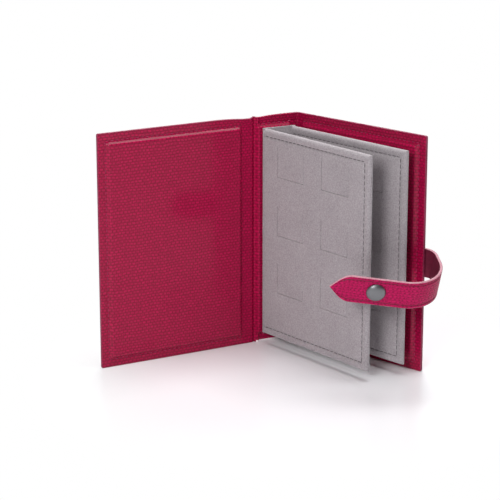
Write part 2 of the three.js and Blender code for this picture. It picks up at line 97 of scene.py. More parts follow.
def middle_and_half(node, origin, direction):
    """Middle and half length of a CAD node's reach from an origin along a direction."""
    low, high = extent(node, origin, direction)
    return (low + high) / 2, (high - low) / 2


UP = np.array([0.0, 0.0, 1.0])
ACROSS_SPINE = np.array([1.0, 0.0, 0.0])
INTO_CASE = np.array([0.0, -1.0, 0.0])
fold_front = place("front_cover_fold")
fold_back = place("back_cover_fold")
bend = {-1: math.pi / 2 - open_angle("front_cover_fold"), 1: math.pi / 2 - open_angle("back_cover_fold")}
case_low, case_high = extent("spine_leather", 0, UP)
spine_half = extent("spine_leather", 0, ACROSS_SPINE)[1]
fold_half = fold_back[0] - spine_half
back_along = np.array([math.cos(bend[1]), -math.sin(bend[1]), 0.0])
cover_reach = extent("back_leather", fold_back, back_along)[1]
leather_out, leather_in = extent("spine_leather", 0, INTO_CASE)
lining_foot, lining_top = extent("spine_lining", 0, INTO_CASE)
print("case", round(case_high, 1), "high, covers reach", round(cover_reach, 1))

# %% [markdown]
# ## Meshes from grids
#
# Leather, lining and suede are all sheets: a middle surface with a thickness that rounds off to
# nothing at a cut edge. One function takes both faces of such a sheet as grids of points and joins
# them into a closed mesh. Faces near a cut edge can take a second finish, for the raw edge, and the
# under face a third.

# %% From grids to a closed mesh


def new_object(name, points, faces, uv=None, materials=(), edge_faces=None):
    """A closed mesh object at the origin, from points in millimetres."""
    mesh = bpy.data.meshes.new(name)
    mesh.from_pydata((points * MM).tolist(), [], faces.tolist())
    if uv is not None:
        layer = mesh.uv_layers.new(name="surface_mm")
        layer.data.foreach_set("uv", uv[faces.ravel()].astype(np.float32).ravel())
    for material in materials:
        mesh.materials.append(material)
    if edge_faces is not None:
        mesh.polygons.foreach_set("material_index", edge_faces.astype(np.int32))
    mesh.polygons.foreach_set("use_smooth", np.ones(len(faces), bool))
    mesh.update()
    piece = bpy.data.objects.new(name, mesh)
    bpy.context.scene.collection.objects.link(piece)
    return piece


def grid_faces(rows, columns):
    """The quads of a grid whose points are numbered row by row."""
    index = np.arange(rows * columns).reshape(rows, columns)
    quads = [index[:-1, :-1], index[1:, :-1], index[1:, 1:], index[:-1, 1:]]
    return np.stack(quads, -1).reshape(-1, 4)


def ring_faces(rows, columns):
    """The quads of a grid whose rows close into rings."""
    index = np.arange(rows * columns).reshape(rows, columns)
    wrapped = np.concatenate([index, index[:, :1]], axis=1)
    quads = [wrapped[:-1, :-1], wrapped[:-1, 1:], wrapped[1:, 1:], wrapped[1:, :-1]]
    return np.stack(quads, -1).reshape(-1, 4)


def closed_sheet(name, top, under, surface_mm, materials, edge=None, line=None):
    """Two grids of points, joined round their rim, with a pair of UV grids in millimetres.

    edge marks the points of the raw edge, and line those of a line on the top face.
    """
    rows, columns = top.shape[:2]
    count = rows * columns
    index = np.arange(count).reshape(rows, columns)
    rim = np.concatenate([index[0, :-1], index[:-1, -1], index[-1, :0:-1], index[:0:-1, 0]])
    after = np.roll(rim, -1)
    wall = np.stack([rim, after, after + count, rim + count], -1)
    face = grid_faces(rows, columns)
    faces = np.concatenate([face, face[:, ::-1] + count, wall])
    points = np.concatenate([top.reshape(-1, 3), under.reshape(-1, 3)])
    uv = np.concatenate([np.stack(surface_mm, -1).reshape(-1, 2)] * 2)
    marks = None
    if edge is not None:
        flags = np.concatenate([edge.ravel()] * 2)
        marks = flags[faces].all(axis=1).astype(int)
        below = (faces >= count).all(axis=1)
        marks[below & (marks == 0)] = 2 if len(materials) > 2 else 0
    if line is not None:
        flags = np.concatenate([line.ravel(), np.zeros(count, bool)])
        marks[flags[faces].all(axis=1)] = 3
    piece = new_object(name, points, faces, uv, materials, marks)
    close_seams(piece)
    return piece


SHARP = math.radians(50)


def close_seams(piece, gap_mm=0.002):
    """Merges points that lie on each other, points the faces outwards and keeps cut edges crisp."""
    work = bmesh.new()
    work.from_mesh(piece.data)
    bmesh.ops.remove_doubles(work, verts=work.verts, dist=gap_mm * MM)
    bmesh.ops.dissolve_degenerate(work, edges=work.edges, dist=gap_mm * MM / 10)
    bmesh.ops.recalc_face_normals(work, faces=work.faces)
    work.to_mesh(piece.data)
    work.free()
    piece.data.set_sharp_from_angle(angle=SHARP)
    piece.data.update()


print("mesh helpers ready")

# %% Hiding what a piece replaces


def dress(piece, slot, body, *nodes):
    """Hides the nodes that a piece replaces and hangs the piece on the body that it rides on; slot is not
    used.
    """
    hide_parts(*nodes)
    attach(piece, body)


def dress_soft(piece, node):
    """Hides the node that a soft piece replaces and bakes the piece's place into its mesh."""
    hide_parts(node)
    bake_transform(piece)


print("frame helpers ready")

# %% Lines, distances and rounded edges


def graded(low, high, step, low_close=(), high_close=()):
    """Places from low to high: evenly spread, with closer ones at given distances from each end."""
    inner_low = low + (max(low_close) if low_close else 0)
    inner_high = high - (max(high_close) if high_close else 0)
    count = max(int(round((inner_high - inner_low) / step)), 1)
    even = np.linspace(inner_low, inner_high, count + 1)
    near = low + np.array(low_close, float)
    far = high - np.array(high_close, float)
    return np.unique(np.round(np.concatenate([near, even, far, [low, high]]), 4))


def grid(first_lines, second_lines):
    """Two grids of coordinates, from the lines of each."""
    return np.meshgrid(first_lines, second_lines, indexing="ij")


def smoothstep(value, low, high):
    """0 below low, 1 above high, and a smooth rise between."""
    share = np.clip((value - low) / (high - low), 0, 1)
    return share * share * (3 - 2 * share)


def roll(distance, radius):
    """Height share of a rounded edge: a quarter circle over its radius, then flat."""
    share = np.clip(distance / radius, 0, 1)
    return np.sqrt(np.clip(1 - (1 - share) ** 2, 0, 1))


def to_ends(value, low, high):
    """Distance to the nearer of two ends."""
    return np.minimum(value - low, high - value)


def unit(vectors):
    """Vectors divided by their lengths."""
    return vectors / np.linalg.norm(vectors, axis=-1, keepdims=True)


def bell(place, middle, spread):
    """One at the middle, falling off as a Gaussian."""
    return np.exp(-(((place - middle) / spread) ** 2))


def corner_pull(across, upward):
    """What a square corner's two distances shrink by, when the corner moves on to an arc."""
    both = np.maximum(np.hypot(across, upward), 1e-9)
    return np.where((across > 0) & (upward > 0), np.maximum(across, upward) / both, 1)


EDGE_CLOSE = (0, 0.05, 0.15, 0.3, 0.5, 0.8, 1.4, 2.2, 3.2, 4.2, 4.9, 5.3, 5.7, 6.2, 6.8, 7.4, 8, 8.6, 9.4)
FOLD_CLOSE = (0, 0.4, 0.8, 1.2, 1.6, 2.0, 2.4, 3.0)
print("sheet helpers ready")

# %% [markdown]
# ## Finishes
#
# The case is split hide or a coated cloth, embossed with small reptile scales and glazed, so it
# shines in streaks. The covers' edges are painted and the strap's cut edges show its pink core. The
# spine's lower edge is left pale, and its band is widened and brightened as a painted highlight. The
# strap's under face and its creased line are darkened as painted shade. The leaves are microfibre
# suede, which scatters light and has a faint mottle where the nap lies both ways. The leather reads
# the sheet's own UV map, which is in millimetres, so that the scales follow it round its folds.

# %% Node helpers and colours


def linear(hex_colour):
    """An sRGB hex colour as linear RGBA."""
    channels = np.array([int(hex_colour[i : i + 2], 16) for i in (1, 3, 5)]) / 255
    curve = np.where(channels <= 0.04045, channels / 12.92, ((channels + 0.055) / 1.055) ** 2.4)
    return (*curve, 1.0)


def add_node(tree, kind, inputs=None, **settings):
    """Adds a node; an input is a value, or another node's output to link."""
    node = tree.nodes.new(kind)
    for name, value in settings.items():
        setattr(node, name, value)
    for key, value in (inputs or {}).items():
        if isinstance(value, bpy.types.NodeSocket):
            tree.links.new(value, node.inputs[key])
        else:
            node.inputs[key].default_value = value
    return node


def new_material(name, **principled):
    """A material with its Principled shader set; returns the material, its tree and the shader."""
    material = bpy.data.materials.new(name)
    material.use_nodes = True
    shader = material.node_tree.nodes["Principled BSDF"]
    for key, value in principled.items():
        shader.inputs[key.replace("_", " ")].default_value = value
    return material, material.node_tree, shader


def noise(tree, vector, scale, detail=2.0, rough=0.5):
    """A noise texture over a vector."""
    inputs = {"Vector": vector, "Scale": scale, "Detail": detail, "Roughness": rough}
    return add_node(tree, "ShaderNodeTexNoise", inputs)


def remap(tree, value, goal=(0.0, 1.0), span=(0.0, 1.0), kind="LINEAR"):
    """A value carried from a span to a goal, evenly or along a smooth curve."""
    inputs = {"Value": value, "From Min": span[0], "From Max": span[1]}
    inputs.update({"To Min": goal[0], "To Max": goal[1]})
    return add_node(tree, "ShaderNodeMapRange", inputs, interpolation_type=kind).outputs[0]


def mix_colours(tree, share, first, second):
    """A colour between two others."""
    inputs = {"Factor": share, 6: first, 7: second}
    return add_node(tree, "ShaderNodeMix", inputs, data_type="RGBA").outputs[2]


def larger(tree, first, second):
    """The larger of two values."""
    return add_node(tree, "ShaderNodeMath", {0: first, 1: second}, operation="MAXIMUM").outputs[0]


BUMP_STRENGTH = 0.5


def emboss(tree, shader, height, depth_mm, invert=False):
    """Bumps a shader's normal by a height."""
    inputs = {"Height": height, "Strength": BUMP_STRENGTH, "Distance": depth_mm * MM}
    bump = add_node(tree, "ShaderNodeBump", inputs, invert=invert)
    tree.links.new(bump.outputs[0], shader.inputs["Normal"])


print("mid grey is", round(linear("#808080")[0], 3), "in linear light")

# %% Embossed leather
DRIFT_SCALE = 0.12
FLECK_LOOSE = 0.55
FLECK_EDGE = (0.12, 0.34)
SCALE_DEPTH = 0.16


def embossed_leather(name, colours, scale_mm, fleck_share, gloss, **principled):
    """Glazed leather: staggered rows of pressed scales, each a small pillow, with dark flecks between.

    The scales wander a little, as a roller leaves them. colours are two tones of scale, the groove
    and the fleck; gloss is the roughness on a scale's top and in its groove.
    """
    material, tree, shader = new_material(name, **principled)
    first, second, groove, fleck = (linear(colour) for colour in colours)
    width, row = scale_mm
    uv = add_node(tree, "ShaderNodeUVMap", uv_map="surface_mm").outputs[0]
    drift = noise(tree, uv, DRIFT_SCALE).outputs["Color"]
    stray = {0: drift, 1: (width, row, 0.0), 2: uv}
    wander = add_node(tree, "ShaderNodeVectorMath", stray, operation="MULTIPLY_ADD").outputs[0]
    rows = {"Vector": wander, "Color1": first, "Color2": second, "Mortar": groove, "Scale": 1.0}
    rows.update({"Mortar Size": row / 3, "Mortar Smooth": 1.0, "Brick Width": width, "Row Height": row})
    scales = add_node(tree, "ShaderNodeTexBrick", rows)
    laid = add_node(tree, "ShaderNodeMapping", {"Vector": wander, "Scale": (1 / width, 1 / row, 1.0)})
    spots = {"Vector": laid.outputs[0], "Scale": 1.0, "Randomness": FLECK_LOOSE}
    dots = add_node(tree, "ShaderNodeTexVoronoi", spots, voronoi_dimensions="2D")
    pit = remap(tree, dots.outputs["Distance"], (fleck_share, 0.0), FLECK_EDGE, "SMOOTHSTEP")
    tone = mix_colours(tree, pit, scales.outputs["Color"], fleck)
    tree.links.new(tone, shader.inputs["Base Color"])
    tree.links.new(remap(tree, scales.outputs["Fac"], gloss), shader.inputs["Roughness"])
    emboss(tree, shader, larger(tree, scales.outputs["Fac"], pit), SCALE_DEPTH, invert=True)
    return material


CASE_SCALE = (2.8, 2.0)
CRIMSON = ("#BA0A49", "#AA0942", "#840731", "#5C0422")
STRAP_CRIMSON = ("#C30E5A", "#B90D55", "#A40B49", "#5E062A")
case_leather = embossed_leather(
    "glazed embossed leather", CRIMSON, CASE_SCALE, 0.3, (0.32, 0.5), Specular_IOR_Level=0.15
)
glaze = {"Specular_IOR_Level": 0.15, "Coat_Weight": 0.25, "Coat_Roughness": 0.12}
lining_leather = embossed_leather("glazed embossed lining", CRIMSON, CASE_SCALE, 0.3, (0.28, 0.5), **glaze)
strap_leather = embossed_leather(
    "glazed strap leather", STRAP_CRIMSON, (2.6, 1.9), 0.7, (0.4, 0.55), Specular_IOR_Level=0.14
)
print("leather", case_leather.name)

# %% Raw edge, suede, felt and board
TONE_SPAN = (0.3, 0.7)


def mottled(name, tones, sizes_mm, rough, bump_mm, grain_share=0.45, **principled):
    """A matt material whose tone drifts between two colours, over a wide size and a fine grain."""
    material, tree, shader = new_material(name, Roughness=rough, **principled)
    wide_mm, grain_mm = sizes_mm
    where = add_node(tree, "ShaderNodeTexCoord").outputs["Object"]
    wide = noise(tree, where, 1 / (wide_mm * MM), 3.0, 0.6)
    fine = noise(tree, where, 1 / (grain_mm * MM))
    sizes = {"Factor": grain_share, 2: wide.outputs[0], 3: fine.outputs[0]}
    both = add_node(tree, "ShaderNodeMix", sizes, data_type="FLOAT").outputs[0]
    dark, light = (linear(tone) for tone in tones)
    tone = mix_colours(tree, remap(tree, both, span=TONE_SPAN), dark, light)
    tree.links.new(tone, shader.inputs["Base Color"])
    emboss(tree, shader, fine.outputs[0], bump_mm)
    return material


raw_edge = mottled("pale raw leather edge", ("#AC6C7B", "#D2A0AC"), (1.5, 0.4), 0.8, 0.1)
# The strap's under face is a darker crimson: painted shade where the curl keeps it from the lamps.
strap_underside_shade = mottled("strap underside darkened as painted shade", ("#5A0826", "#760C34"), (2.5, 0.5), 0.7, 0.1)
edge_paint = mottled("painted leather edge", ("#720C33", "#A03059"), (2.5, 0.4), 0.5, 0.1)
nap = {"grain_share": 0.8, "Sheen_Weight": 0.4, "Sheen_Roughness": 0.5}
suede = mottled("grey microfibre suede", ("#8D8589", "#B1AAAE"), (18, 0.9), 0.95, 0.12, **nap)
suede_thread = mottled("dark grey thread", ("#555053", "#6C676A"), (1.2, 0.35), 0.7, 0.06)
case_thread = mottled("crimson thread", ("#8A1740", "#A82457"), (1.2, 0.35), 0.6, 0.06)
felt = mottled("grey felt core", ("#625E62", "#767276"), (3, 0.35), 1.0, 0.1)
greyboard = mottled("grey paperboard", ("#857D72", "#968E83"), (2, 0.35), 0.9, 0.05)
# A dark crimson for the strap's creased line: painted shade in its groove.
crease_shade = mottled("strap crease darkened as painted shade", ("#52051F", "#6E0932"), (1.5, 0.4), 0.5, 0.05)
# Near white: the raw cut edge is pale, and brightened further as a painted highlight.
raw_foot_highlight = mottled("pale cut foot of the spine brightened as painted highlight", ("#F0DCE2", "#FFF6F8"), (1.5, 0.4), 0.6, 0.05)
print("soft finishes", suede.name, raw_edge.name, raw_foot_highlight.name)

# %% Gunmetal and nickel
PIT_SIZE = 0.4
PIT_GLOSS = (-0.08, 0.1)


def satin_metal(name, tint, rough):
    """Plated steel, tumbled to a satin face: fine pits break the gloss."""
    material, tree, shader = new_material(name, Metallic=1.0, Base_Color=linear(tint))
    where = add_node(tree, "ShaderNodeTexCoord").outputs["Object"]
    pits = noise(tree, where, 1 / (PIT_SIZE * MM), 3.0).outputs[0]
    gloss = remap(tree, pits, [rough + change for change in PIT_GLOSS])
    tree.links.new(gloss, shader.inputs["Roughness"])
    return material


gunmetal = satin_metal("satin gunmetal plating", "#7F8083", 0.42)
nickel = satin_metal("bright nickel", "#C9C4BE", 0.22)
print("metals", gunmetal.name, nickel.name)

# %% [markdown]
# ## The case
#
# Seen from above, the case is one line: front cover, soft fold, spine, soft fold, back cover. A point
# on it is a distance along that line from the middle of the spine, a depth into the case and a
# height. The leather creases in a small arc at each fold. The front fold has been opened wide, which
# leaves a ridge along it on the outside and a dark groove on the inside, right beside the spine's
# board, where the lining stands up in a bead. The upper edge sags a little around that ridge.

# %% The case's line in plan
CREASE = 2.2
SEWN_EDGE = 8.0
RIDGE_AT, RIDGE_HEIGHT, RIDGE_SPREAD = -14.4, 1.2, 1.1
SAG_AT, SAG_DEPTH, SAG_SPREAD = -18.0, 1.3, 13.0
PEAK_DEPTH, PEAK_SPREAD = 0.7, 2.2
BEAD_AT, BEAD_HEIGHT, BEAD_SPREAD = -12.3, 1.0, 1.1
crease_start = fold_back[0] - CREASE
crease_radius = {side: CREASE / math.tan(bend[side] / 2) for side in (-1, 1)}
crease_end = {side: crease_start + crease_radius[side] * bend[side] for side in (-1, 1)}
cover_start = {side: crease_end[side] + fold_half - CREASE for side in (-1, 1)}
cover_end = {side: cover_start[side] + cover_reach - fold_half for side in (-1, 1)}


def on_case(side, along, depth, height):
    """Points of the case: straight spine, a small arc at the fold, a straight cover, on one side."""
    radius = crease_radius[side]
    place = side * np.asarray(along)
    turn = np.clip((along - crease_start) / radius, 0, bend[side])
    past = np.maximum(along - crease_end[side], 0)
    inward = depth - RIDGE_HEIGHT * bell(place, RIDGE_AT, RIDGE_SPREAD)
    sag = SAG_DEPTH * bell(place, SAG_AT, SAG_SPREAD) - PEAK_DEPTH * bell(place, RIDGE_AT, PEAK_SPREAD)
    height = height - sag * smoothstep(height, case_high - SEWN_EDGE, case_high)
    x = np.minimum(along, crease_start) + radius * np.sin(turn) + past * np.cos(turn)
    y = -radius * (1 - np.cos(turn)) - past * np.sin(turn)
    x = x - inward * np.sin(turn)
    y = y - inward * np.cos(turn)
    return np.stack([side * x, y, height], -1)


print("folds end at", round(crease_end[-1], 1), "and", round(crease_end[1], 1), "mm along the line")

# %% Sheets of the case
STITCH_LINE = 5.4
COVER_CORNER = 1.2
PAINTED_EDGE = 0.35
# The pale band at the spine's foot is widened so that its painted highlight shows.
RAW_FOOT_HIGHLIGHT_BAND = 1.5
CASE_STEP = 1.6
FOLD_LINES = 45
SHEET_ROLL = 0.4
PINCH_DEPTH, PINCH_SPREAD = 0.16, 0.7
LEATHER_DIP = 0.22
LINING_HALF = 0.4
LINING_UV = 300
BOARD_EDGE = (STITCH_LINE + 0.4, SEWN_EDGE)
BOARD_SIDE = (0.2, 2.2)
FAR = 1e3
case_heights = graded(case_low, case_high, CASE_STEP, EDGE_CLOSE, EDGE_CLOSE)


def rounded_corner(along, height, end):
    """Moves a square grid's free corners on to arcs, keeping each point's distance from the edge."""
    across = np.maximum(along - (end - COVER_CORNER), 0)
    middle = (case_low + case_high) / 2
    reach = (case_high - case_low) / 2 - COVER_CORNER
    upward = np.maximum(np.abs(height - middle) - reach, 0)
    loss = 1 - corner_pull(across, upward)
    return along - across * loss, height - np.sign(height - middle) * upward * loss


def sewn_layer(side, layer, along, to_edge, board):
    """Middle depth and half thickness of a layer; the lining climbs by the board's share."""
    pinch = PINCH_DEPTH * bell(to_edge, STITCH_LINE, PINCH_SPREAD)
    if layer == "leather":
        half = (leather_in - leather_out) / 2
        middle = (leather_in + leather_out) / 2 + LEATHER_DIP * (1 - board) + pinch
    else:
        half = LINING_HALF
        climb = (lining_top - lining_foot - 2 * half) * board
        bead = BEAD_HEIGHT * bell(side * along, BEAD_AT, BEAD_SPREAD)
        middle = lining_foot + half + climb - pinch * (1 - board) + bead
    return middle, half * roll(to_edge, SHEET_ROLL)


def case_piece(name, side, layer, flat, bent, depths, materials, edge):
    """A closed sheet of the case: flat places give its UV, bent places and depths its two faces."""
    middle, half = depths
    outer = on_case(side, bent[0], middle - half, bent[1])
    inner = on_case(side, bent[0], middle + half, bent[1])
    shift = LINING_UV if layer == "lining" else 0
    return closed_sheet(name, outer, inner, (side * flat[0] + shift, flat[1]), materials, edge)


def case_sheet(name, side, start, end, free, layer, materials):
    """One sheet of the case, outer leather or lining, between two places along the case's line."""
    far_close = EDGE_CLOSE if free else FOLD_CLOSE
    along, height = grid(graded(start, end, CASE_STEP, FOLD_CLOSE, far_close), case_heights)
    to_sewn = to_ends(height, case_low, case_high)
    to_free = end - along if free else np.full_like(along, FAR)
    to_edge = np.minimum(to_sewn, to_free)
    to_side = np.minimum(along - start, FAR if free else end - along)
    board = smoothstep(to_sewn, *BOARD_EDGE) * smoothstep(to_free, *BOARD_EDGE)
    board = board * smoothstep(to_side, *BOARD_SIDE)
    depths = sewn_layer(side, layer, along, to_edge, board)
    bent = rounded_corner(along, height, end) if free else (along, height)
    # The spine's lining takes the pale band along its foot: a raw edge with a painted highlight.
    cut_foot_highlight = layer == "lining" and not free
    edge = height - case_low < RAW_FOOT_HIGHLIGHT_BAND if cut_foot_highlight else to_edge < PAINTED_EDGE
    return case_piece(name, side, layer, (along, height), bent, depths, materials, edge)


def fold_sheet(name, side, layer, materials):
    """The soft leather or lining between the spine and a cover, with no board under it."""
    flat = grid(np.linspace(spine_half, cover_start[side], FOLD_LINES), case_heights)
    to_edge = to_ends(flat[1], case_low, case_high)
    depths = sewn_layer(side, layer, flat[0], to_edge, 0)
    return case_piece(name, side, layer, flat, flat, depths, materials, to_edge < PAINTED_EDGE)


print("case sheets have", len(case_heights), "lines up their height")

# %% Covers, spine and folds
leather_pair = (case_leather, edge_paint)
lining_pair = (lining_leather, edge_paint)
sides = {"front": -1, "back": 1}
for cover, side in sides.items():
    body = f"{cover}_cover"
    for layer, pair in (("leather", leather_pair), ("lining", lining_pair)):
        ends = cover_start[side], cover_end[side]
        sheet = case_sheet(f"{body}_{layer}", side, *ends, True, layer, pair)
        dress(sheet, f"case_{layer}", body, f"{cover}_{layer}")
        fold = fold_sheet(f"{cover}_soft_fold_{layer}", side, layer, leather_pair)
        dress_soft(fold, f"{cover}_fold_{layer}")
for layer, pair in (("leather", leather_pair), ("lining", (case_leather, raw_foot_highlight))):
    sheet = case_sheet(f"spine_panel_{layer}", 1, -spine_half, spine_half, False, layer, pair)
    dress(sheet, f"case_{layer}", "spine", f"spine_{layer}")
print("case sheets made; covers end at", round(cover_end[1], 1), "mm along the line")

# %% [markdown]
# ## Leaves
#
# Each leaf is a stiff core between two faces of suede, bound along three edges by a line of stitches.
# The padding swells between the stitches. A cloth simulation of a coarse pad, held where the thread
# and the core hold the real one, gives that swelling, and a fine surface takes it over.

# %% The leaf's frame and the flaps in it
LEAVES = ("leaf_1", "leaf_2")


def leaf_frame(leaf):
    """Origin on the leaf's sewn fold, direction along the leaf, and the way its front faces."""
    angle = open_angle(f"{leaf}_lean") - math.pi / 2
    along = np.array([math.cos(angle), math.sin(angle), 0.0])
    facing = np.array([math.sin(angle), -math.cos(angle), 0.0])
    origin = place(f"{leaf}_lean")
    return origin * (1, 1, 0), along, facing


def on_leaf(leaf, along, depth, height):
    """Points of a leaf, from distances along it, out of its front and upward."""
    origin, direction, facing = leaf_frame(leaf)
    along, depth, height = (part[..., None] for part in np.broadcast_arrays(along, depth, height))
    return origin + along * direction + depth * facing + height * UP


def leaf_sizes(leaf):
    """A leaf's reach, height and faces, and the flaps' openings, measured in the frame."""
    origin, along, facing = leaf_frame(leaf)
    reach = extent(f"{leaf}_back_suede", origin, along)
    height = extent(f"{leaf}_back_suede", origin, UP)
    front = extent(f"{leaf}_front_suede", origin, facing)[1]
    back = extent(f"{leaf}_back_suede", origin, facing)[0]
    flaps = []
    for number in range(1, 7):
        node = f"{leaf}_flap_{number}"
        fold = place(f"{node}_lift")[2]
        flaps.append((*extent(node, origin, along), extent(node, origin, UP)[0], fold))
    return reach, height, (back, front), flaps


leaf_reach, leaf_height, leaf_faces, leaf_flaps = leaf_sizes("leaf_1")
leaf_middle = (leaf_faces[1] + leaf_faces[0]) / 2
leaf_half = (leaf_faces[1] - leaf_faces[0]) / 2
print("leaf", np.round(leaf_reach, 1), np.round(leaf_height, 1), "flaps", len(leaf_flaps))

# %% What holds the padding
LEAF_STITCH = 5.0
STITCH_HOLD, FOLD_HOLD, EDGE_HOLD = 1.2, 1.5, 0.3
FLAP_HOLD, FLAP_TOP_HOLD = 1.5, 2


def edge_distances(along, height):
    """Distance to the three sewn edges, and to the sewn fold."""
    to_sewn = np.minimum(to_ends(height, *leaf_height), leaf_reach[1] - along)
    return to_sewn, along - leaf_reach[0]


def near_flaps(along, height, grow, above):
    """Whether places lie on a flap, grown at its sides and foot, and up to a distance above its fold."""
    inside = np.zeros(along.shape, bool)
    for low, high, foot, fold in leaf_flaps:
        across = (along > low - grow) & (along < high + grow)
        inside |= across & (height > foot - grow) & (height < fold + above)
    return inside


def held_places(along, height):
    """Where thread or core holds the suede: the stitch line, the edges, the fold and each flap."""
    to_sewn, to_fold = edge_distances(along, height)
    held = (np.abs(to_sewn - LEAF_STITCH) < STITCH_HOLD) | (to_fold < FOLD_HOLD) | (to_sewn < EDGE_HOLD)
    return held | near_flaps(along, height, FLAP_HOLD, FLAP_TOP_HOLD)


print("stitches hold the leaf", LEAF_STITCH, "mm from its edge")

# %% Swelling of the padding
LEAF_ROLL = 2.2
PUFF_LIMIT = 0.8
PRESSURE = 24.0
CLOTH_STEPS = 15
COARSE_STEP, COARSE_HALF = 2.2, 1.7
COARSE_CLOSE = (0, 1.2, 2.6, 4.0, 5.0, 6.0)


def cloth_swelling():
    """Outward swelling on a coarse grid, from a short cloth simulation with pressure inside."""
    along_lines = graded(*leaf_reach, COARSE_STEP, (), COARSE_CLOSE)
    height_lines = graded(*leaf_height, COARSE_STEP, COARSE_CLOSE, COARSE_CLOSE)
    along, height = grid(along_lines, height_lines)
    half = COARSE_HALF * roll(edge_distances(along, height)[0], LEAF_ROLL)
    top = np.stack([along, -half, height], -1)
    under = np.stack([along, half, height], -1)
    pad = closed_sheet("coarse_pad", top, under, (along, height), ())
    start = vertex_places(pad.data)
    pinned = np.flatnonzero(held_places(start[:, 0], start[:, 2]))
    group = pad.vertex_groups.new(name="held")
    group.add(pinned.tolist(), 1.0, "REPLACE")
    cloth = pad.modifiers.new("swell", "CLOTH")
    cloth.settings.vertex_group_mass = "held"
    cloth.settings.use_pressure = True
    cloth.settings.uniform_pressure_force = PRESSURE
    cloth.settings.effector_weights.gravity = 0.0
    cloth.settings.quality = 5
    scene = bpy.context.scene
    for step in range(1, CLOTH_STEPS + 1):
        scene.frame_set(step)
    evaluated = pad.evaluated_get(bpy.context.evaluated_depsgraph_get())
    moved = vertex_places(evaluated.data)
    scene.frame_set(1)
    front = start[:, 1] <= 0
    outward = np.maximum(start[front, 1] - moved[front, 1], 0)
    rows = np.abs(start[front, :1] - along_lines).argmin(axis=1)
    columns = np.abs(start[front, 2:] - height_lines).argmin(axis=1)
    swelling = np.zeros(along.shape)
    swelling[rows, columns] = outward
    mesh = pad.data
    bpy.data.objects.remove(pad)
    bpy.data.meshes.remove(mesh)
    return along_lines, height_lines, PUFF_LIMIT * (1 - np.exp(-swelling / PUFF_LIMIT))


swell_along, swell_height, swell = leaf_reach, leaf_height, np.zeros((2, 2))
swell_along, swell_height, swell = cloth_swelling()
print("swelling up to", round(float(swell.max()), 2), "mm")


def swelling_at(along, height):
    """The simulated swelling, read between its grid points."""
    by_row = np.array([np.interp(height[0], swell_height, row) for row in swell])
    return np.array([np.interp(along[:, 0], swell_along, column) for column in by_row.T]).T


# %% Leaf pads
STITCH_PITCH = 4.0
CHANNEL_DEPTH, CHANNEL_SPREAD = 0.8, 0.75
TUG = 0.15
FLAP_GAP, FLAP_ABOVE = 0.14, 1.5
WINDOW_DEPTH = 2.4
PAD_STEP = 1.0
CUT_HALF, CUT_CLEAR = 0.02, 0.2
ROOT_SHARE, ROOT_ROLL = 0.65, 0.8
ROOT_CLOSE = (0, 0.1, 0.3, 0.6, 1.0)
SEAM_CLOSE = (0, 0.06, 0.2, 0.4, 0.7, 1.1, 1.6, 2.2, 3.0, 3.7, 4.2, 4.55, 4.8, 5.0)
SEAM_CLOSE += (5.2, 5.45, 5.8, 6.3, 7.0)


def pad_lines(low, high, cuts, low_close, high_close):
    """Even lines about 1 mm apart, with a line on each side of every cut."""
    lines = graded(low, high, PAD_STEP, low_close, high_close)
    cuts = np.unique(np.round(cuts, 3))
    cuts = np.array([cut + shift for cut in cuts for shift in (-CUT_HALF, CUT_HALF)])
    clear = np.abs(lines[:, None] - cuts[None, :]).min(axis=1) > CUT_CLEAR
    return np.unique(np.concatenate([lines[clear], cuts]))


def leaf_pad(leaf):
    """A leaf's padded faces as one closed form, with an opening behind each flap."""
    low, high, foot, fold = np.array(leaf_flaps).T
    side_cuts = np.concatenate([low - FLAP_GAP, high + FLAP_GAP])
    end_cuts = np.concatenate([foot - FLAP_GAP, fold + FLAP_ABOVE])
    along, height = grid(
        pad_lines(*leaf_reach, side_cuts, ROOT_CLOSE, SEAM_CLOSE),
        pad_lines(*leaf_height, end_cuts, SEAM_CLOSE, SEAM_CLOSE),
    )
    to_sewn, to_fold = edge_distances(along, height)
    at_root = ROOT_SHARE + (1 - ROOT_SHARE) * roll(to_fold, ROOT_ROLL)
    run = np.where(leaf_reach[1] - along < LEAF_STITCH + 1, height, along)
    tug = 1 - TUG + TUG * np.cos(2 * math.pi * run / STITCH_PITCH)
    channel = CHANNEL_DEPTH * tug * bell(to_sewn, LEAF_STITCH, CHANNEL_SPREAD)
    back = leaf_half * roll(to_sewn, LEAF_ROLL) * at_root - channel + swelling_at(along, height)
    opening = near_flaps(along, height, FLAP_GAP, FLAP_ABOVE)
    front = np.where(opening, leaf_half - WINDOW_DEPTH, back)
    top = on_leaf(leaf, along, leaf_middle + front, height)
    under = on_leaf(leaf, along, leaf_middle - back, height)
    pad = closed_sheet(f"{leaf}_pad", top, under, (along, height), (suede,))
    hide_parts(f"{leaf}_front_suede", f"{leaf}_back_suede")
    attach(pad, leaf)
    return pad


for leaf in LEAVES:
    pad = leaf_pad(leaf)
    print(pad.name, len(pad.data.polygons), "faces")

# %% [markdown]
# ## Flaps
#
# A flap is the leaf's own suede, cut on three sides and left whole along the top. It bends there, so
# each flap keeps a strip above its fold that stays with the leaf.

# %% Flaps
FLAP_THICKNESS = 1.0
FLAP_CORNER = 0.6
FLAP_STRIP = 1.48
FLAP_STEP = (1.3, 1.0)
FLAP_ROLL = 0.2
FLAP_CLOSE = (0, 0.04, 0.1, 0.2, 0.4, 0.7, 1.2)


